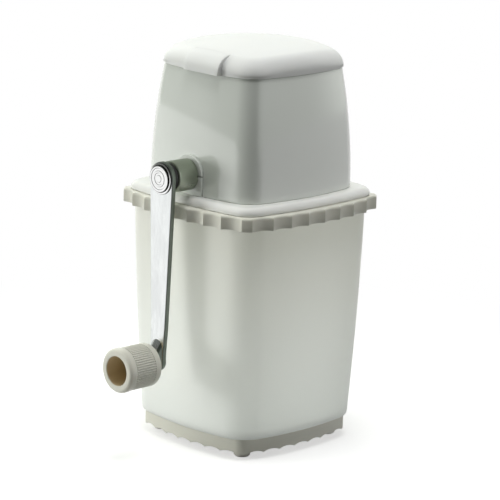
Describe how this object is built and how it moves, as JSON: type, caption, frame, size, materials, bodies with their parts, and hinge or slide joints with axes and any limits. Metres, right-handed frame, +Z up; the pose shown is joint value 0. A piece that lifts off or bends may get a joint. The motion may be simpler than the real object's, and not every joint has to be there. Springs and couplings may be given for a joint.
{
  "type": "hand cranked ice shaver",
  "caption": "Counter-top ice shaver: square hopper with hinged lid and side crank over a bladed rotor, on a frosted square catch container with a scalloped collar.",
  "frame": {"origin": "on the table, under the middle of the whole object's bounds, crank included; the body's own middle lies 20.9 mm further along +Y", "axes": "+Z up; the crank is on the -Y side and turns about the Y axis, the lid's hinge is on the +Y side"},
  "size_m": [0.13, 0.1718, 0.2475],
  "materials": {
    "frosted": "frosted translucent plastic",
    "ivory": "ivory, satin gloss",
    "deck_white": "warm white, satin gloss",
    "gloss_white": "high gloss white",
    "inner_white": "plain moulded",
    "bush": "slippery bearing plastic",
    "dark_plastic": "dark",
    "rubber": "pale rubber",
    "arm_steel": "plated, softly mottled",
    "chrome": "plated",
    "steel": "plain"
  },
  "bodies": {
    "base": {"container": "frosted", "collar_ring": "ivory", "base_ring": "ivory", "feet": "rubber"},
    "upper": {"deck": "deck_white", "hopper_shell": "gloss_white", "bearing_saddle": "gloss_white", "outer_bush": "bush", "crushing_chamber": "inner_white", "inner_bush": "bush", "far_bush": "bush", "comb_left": "steel", "comb_right": "steel", "comb_screws": "steel", "chamber_screws": "steel", "shell_screws": "steel", "funnel": "inner_white", "hinge_pin": "steel"},
    "lid": {"lid": "gloss_white"},
    "crank": {"drive_shaft": "steel", "rotor_blade_1": "steel", "rotor_blade_2": "steel", "rotor_blade_3": "steel", "rotor_blade_4": "steel", "rotor_blade_5": "steel", "rotor_spacer_1": "bush", "rotor_spacer_2": "bush", "rotor_spacer_3": "bush", "rotor_spacer_4": "bush", "rotor_spacer_5": "bush", "rotor_spacer_6": "bush", "thrust_washer": "bush", "circlip": "steel", "hub_sleeve": "chrome", "arm_washer": "dark_plastic", "crank_arm": "arm_steel", "hub_cap_rear": "chrome", "hub_cap_front": "chrome", "crank_bolt": "steel", "knob_pin": "steel", "knob_washer": "steel", "knob_screw": "steel"},
    "knob": {"knob_grip": "ivory"}
  },
  "joints": [
    {"name": "lift_off", "type": "slide", "parent": "base", "child": "upper", "axis": [0, 0, 1], "range_m": [0, 0.06]},
    {"name": "lid_hinge", "type": "hinge", "parent": "upper", "child": "lid", "pos_m": [0, 0.0709, 0.2316], "axis": [-1, 0, 0], "range_deg": [0, 105]},
    {"name": "crank_turn", "type": "hinge", "parent": "upper", "child": "crank", "pos_m": [0, -0.0391, 0.1703], "axis": [0, -1, 0], "continuous": true},
    {"name": "knob_turn", "type": "hinge", "parent": "crank", "child": "knob", "pos_m": [0, -0.0731, 0.0574], "axis": [0, -1, 0], "continuous": true}
  ]
}
